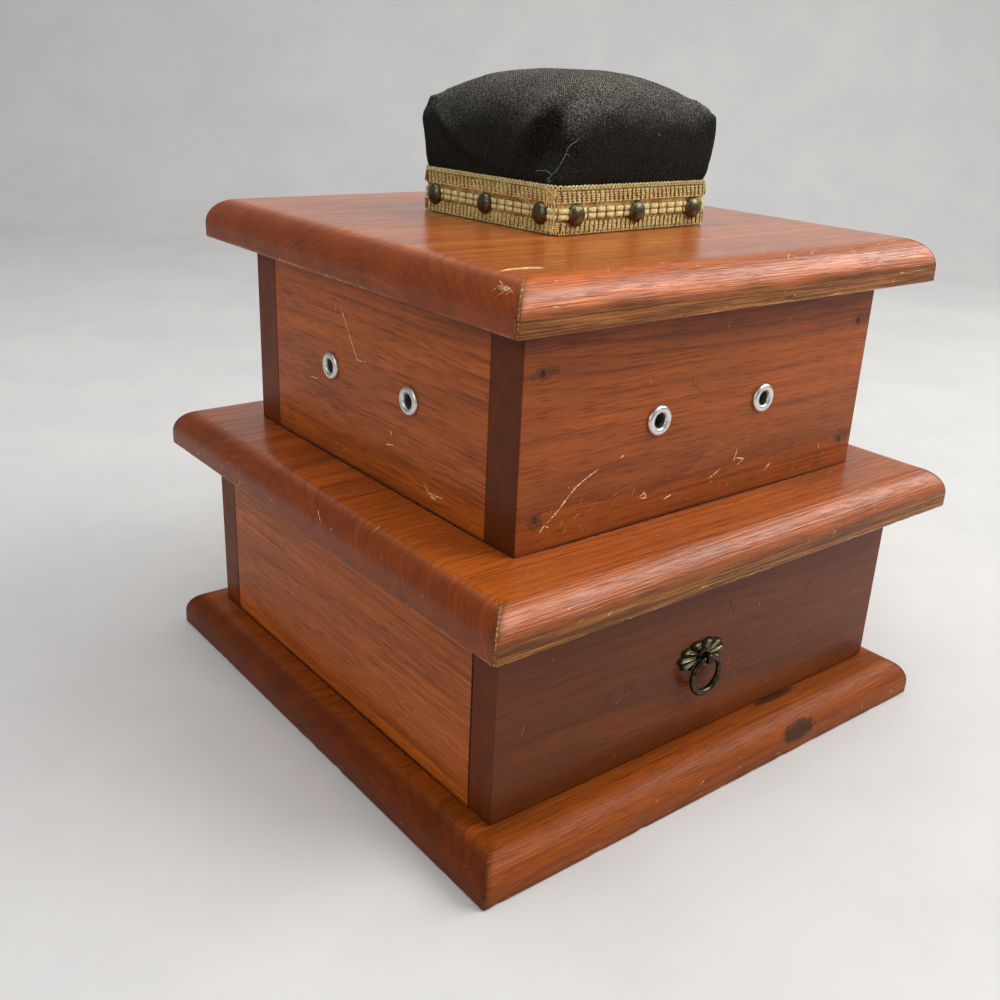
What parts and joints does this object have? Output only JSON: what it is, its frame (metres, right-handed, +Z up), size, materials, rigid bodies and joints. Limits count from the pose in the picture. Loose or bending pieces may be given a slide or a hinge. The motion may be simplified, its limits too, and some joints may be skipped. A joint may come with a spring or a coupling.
{
  "type": "sewing box",
  "caption": "Wooden sewing box: thread tier with eyelets under a hinged lid that carries a pincushion, over a lower tier with a drawer on a drop-ring pull.",
  "frame": {"origin": "centre of the underside of the base slab", "axes": "+Z up, the drawer faces -Y, +X to the right as seen from the front"},
  "size_m": [0.283, 0.283, 0.302],
  "materials": {
    "case_wood": "reddish-brown gloss varnish",
    "lid_wood": "reddish-brown gloss varnish, worn edges",
    "drawer_face_wood": "darker gloss varnish",
    "inner_wood": "bare, oiled with age",
    "dowel_wood": "bare birch dowel",
    "filler": "dark wood filler under varnish",
    "steel": "plain steel, dulled",
    "eyelet_metal": "bright, lightly tarnished",
    "hinge_brass": "satin, aged",
    "antique_brass": "dark antique, bright on high spots",
    "pad_cloth": "black woven wool",
    "gilt_braid": "metallic gold gimp braid"
  },
  "bodies": {
    "case": {"base_board": "case_wood", "mid_board": "case_wood", "lower_side_left": "case_wood", "lower_side_right": "case_wood", "lower_back": "case_wood", "upper_front": "case_wood", "upper_back": "case_wood", "upper_side_left": "case_wood", "upper_side_right": "case_wood", "spool_pins": "dowel_wood", "upper_nail_fillers": "filler", "lower_nail_fillers": "filler", "upper_nails": "steel", "lower_nails": "steel", "base_screws": "steel", "mid_screws": "steel", "eyelets_front": "eyelet_metal", "eyelets_right": "eyelet_metal", "eyelets_back": "eyelet_metal", "eyelets_left": "eyelet_metal", "hinge_case_leaves": "hinge_brass", "hinge_pins": "hinge_brass", "hinge_case_screws": "hinge_brass"},
    "lid": {"lid_board": "lid_wood", "hinge_lid_leaves": "hinge_brass", "hinge_lid_screws": "hinge_brass", "cushion_block": "inner_wood", "cushion_screws": "steel", "cushion_braid": "gilt_braid", "cushion_tacks": "antique_brass", "cushion_pad": "pad_cloth"},
    "drawer": {"drawer_front": "drawer_face_wood", "drawer_side_left": "inner_wood", "drawer_side_right": "inner_wood", "drawer_back": "inner_wood", "drawer_bottom": "inner_wood", "drawer_nails": "steel", "pull_backplate": "antique_brass", "pull_post": "antique_brass", "pull_washer": "steel", "pull_nut": "steel"},
    "ring": {"pull_ring": "antique_brass"}
  },
  "joints": [
    {"name": "lid_hinge", "type": "hinge", "parent": "case", "child": "lid", "pos_m": [0, 0.1083, 0.2175], "axis": [-1, 0, 0], "range_deg": [0, 95]},
    {"name": "drawer_slide", "type": "slide", "parent": "case", "child": "drawer", "axis": [0, -1, 0], "range_m": [0, 0.16]},
    {"name": "pull_swing", "type": "hinge", "parent": "drawer", "child": "ring", "pos_m": [-0.0075, -0.1261, 0.0615], "axis": [-1, 0, 0], "range_deg": [-6, 100]}
  ]
}
